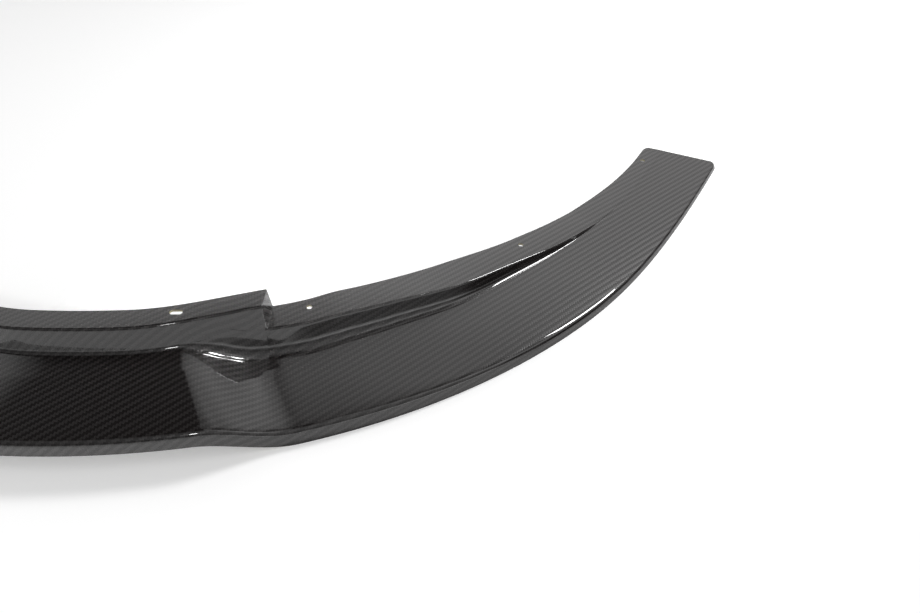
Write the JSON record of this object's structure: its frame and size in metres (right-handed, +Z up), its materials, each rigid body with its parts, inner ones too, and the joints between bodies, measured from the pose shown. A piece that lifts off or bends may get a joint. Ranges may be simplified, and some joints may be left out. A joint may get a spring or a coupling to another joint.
{
  "type": "front splitter lip",
  "caption": "Swept carbon-fibre front splitter lip: a broad flat blade with a turned-down front edge, a raised centre and a screw flange along the rear.",
  "frame": {"origin": "centre of the overall plan box at the level of the lower front edge, on the plane of symmetry", "axes": "+X across the car along the longest extent, +Y toward the rear of the car, +Z up; the front edge faces -Y"},
  "size_m": [1.5812, 0.569, 0.079],
  "materials": {
    "carbon_skin": "clear-coated twill carbon-fibre laminate, high gloss"
  },
  "bodies": {
    "root": {"splitter_lip": "carbon_skin"}
  },
  "joints": []
}
